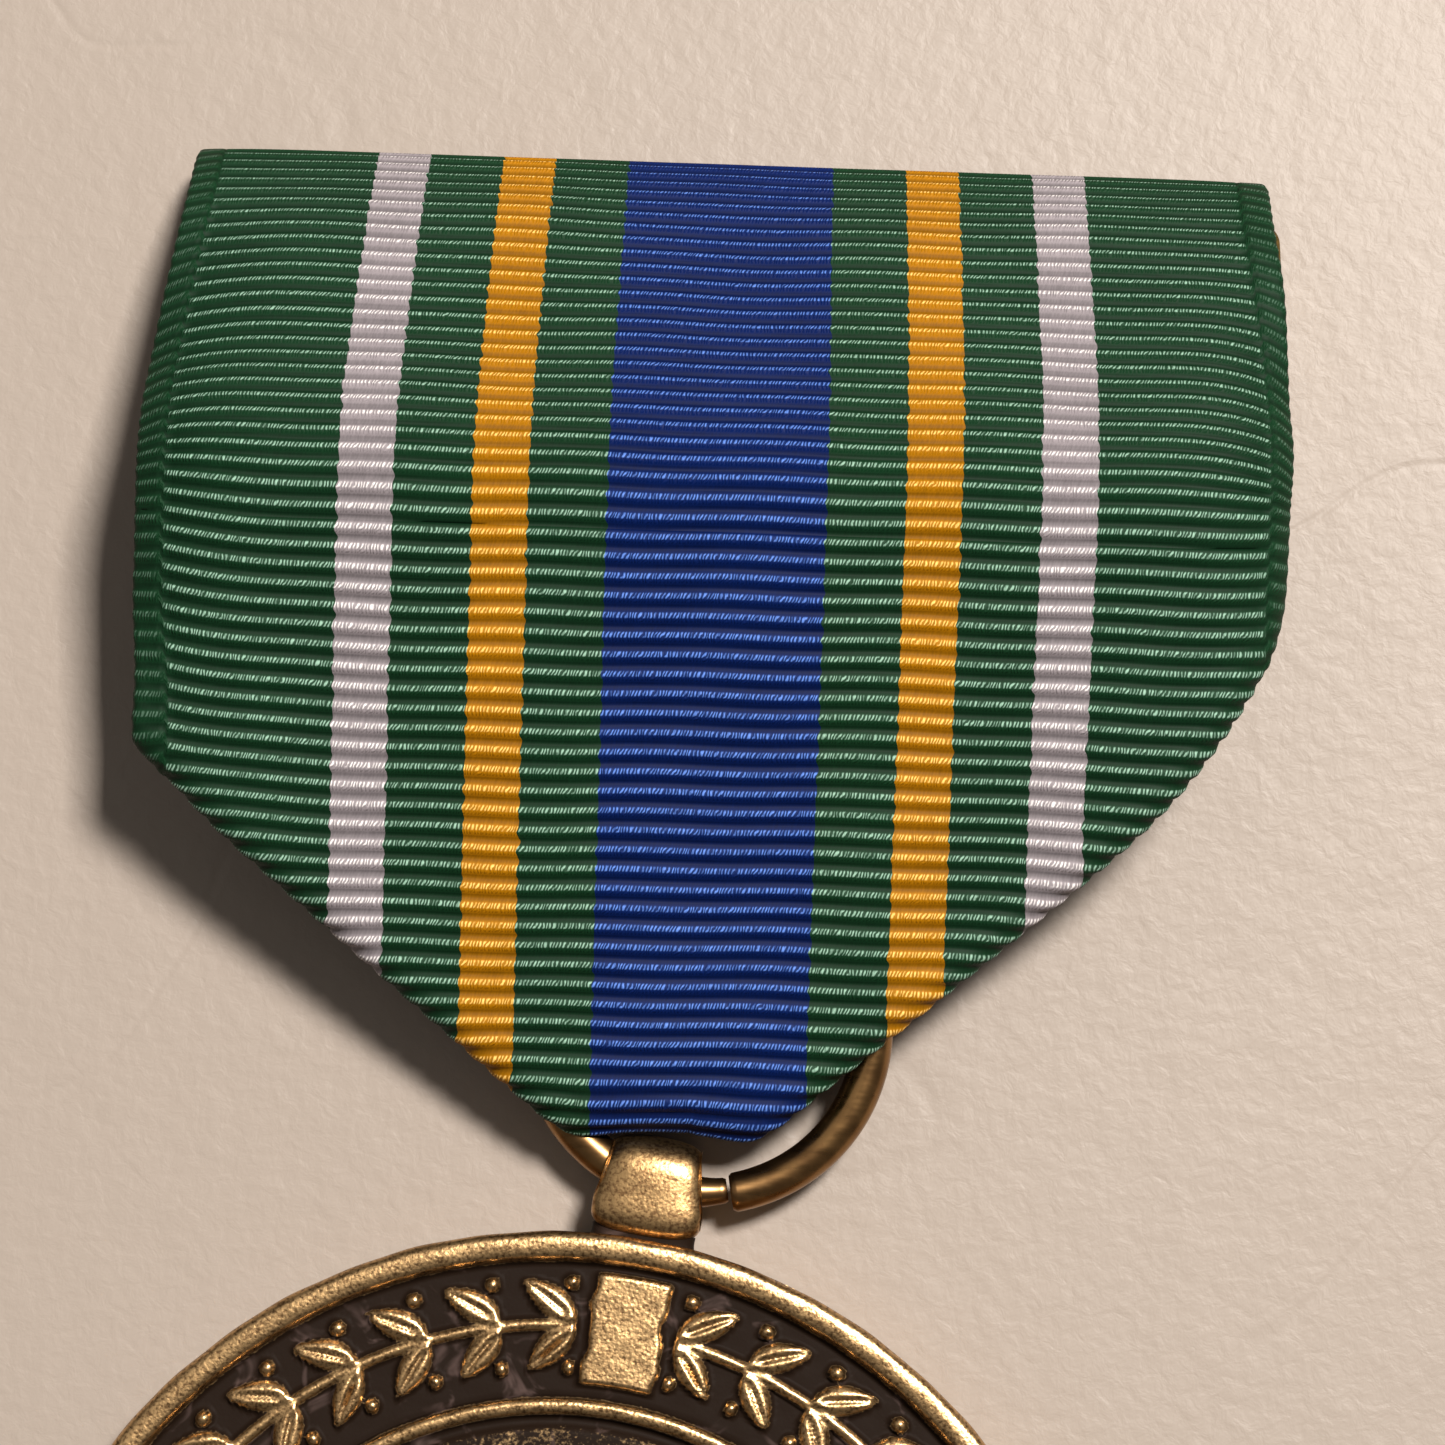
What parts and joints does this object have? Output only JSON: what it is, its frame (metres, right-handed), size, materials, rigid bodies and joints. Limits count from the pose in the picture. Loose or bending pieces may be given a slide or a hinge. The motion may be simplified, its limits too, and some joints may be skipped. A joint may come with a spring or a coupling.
{
  "type": "service medal",
  "caption": "Round antique-bronze medal hung by a lug and jump ring from a folded, striped ribbed ribbon with a pin brooch behind its top.",
  "frame": {"origin": "middle of the medal's footprint, on the plane of the disc's back", "axes": "+Z out of the medal's face, +Y towards the top of the ribbon, +X to the right seen from the front"},
  "size_m": [0.0378, 0.0658, 0.008],
  "materials": {
    "ribbon_cloth": "ribbed weave",
    "thread": "twisted thread",
    "disc_bronze": "antique",
    "ring_bronze": "satin",
    "brooch_brass": "satin",
    "pin_steel": "satin"
  },
  "bodies": {
    "ribbon_and_brooch": {"ribbon_front_upper": "ribbon_cloth", "ribbon_front_lower": "ribbon_cloth", "ribbon_hem": "ribbon_cloth", "ribbon_hem_tail": "ribbon_cloth", "ribbon_top_wrap": "ribbon_cloth", "ribbon_flap_left": "ribbon_cloth", "ribbon_flap_right": "ribbon_cloth", "ribbon_bottom_fold": "ribbon_cloth", "ribbon_loop_back": "ribbon_cloth", "ribbon_loop_riser": "ribbon_cloth", "ribbon_tail": "ribbon_cloth", "hem_stitches": "thread", "tail_stitches": "thread", "brooch_bar": "brooch_brass", "hinge_bracket": "brooch_brass", "hinge_rivet": "brooch_brass", "catch_base": "brooch_brass"},
    "ring": {"jump_ring": "ring_bronze"},
    "medallion": {"medallion": "disc_bronze", "suspension_lug": "disc_bronze"},
    "pin": {"pin_stem": "pin_steel"},
    "lock": {"catch_lock": "brooch_brass"}
  },
  "joints": [
    {"name": "ring_turn", "type": "hinge", "parent": "ribbon_and_brooch", "child": "ring", "pos_m": [0.00145, 0.00639, 0.00194], "axis": [0, -0.1219, 0.9925], "range_deg": [-5, 35]},
    {"name": "medal_flip", "type": "hinge", "parent": "ring", "child": "medallion", "pos_m": [0.00003, 0.00177, 0.00135], "axis": [-0.9912, 0.1323, 0], "range_deg": [-90, 85]},
    {"name": "pin_hinge", "type": "hinge", "parent": "ribbon_and_brooch", "child": "pin", "pos_m": [-0.01075, 0.0244, 0.00205], "axis": [0, 0.8746, -0.4848], "range_deg": [0, 75]},
    {"name": "catch_turn", "type": "hinge", "parent": "ribbon_and_brooch", "child": "lock", "pos_m": [0.01365, 0.0244, 0.00205], "axis": [1, 0, 0], "range_deg": [0, 100]}
  ]
}
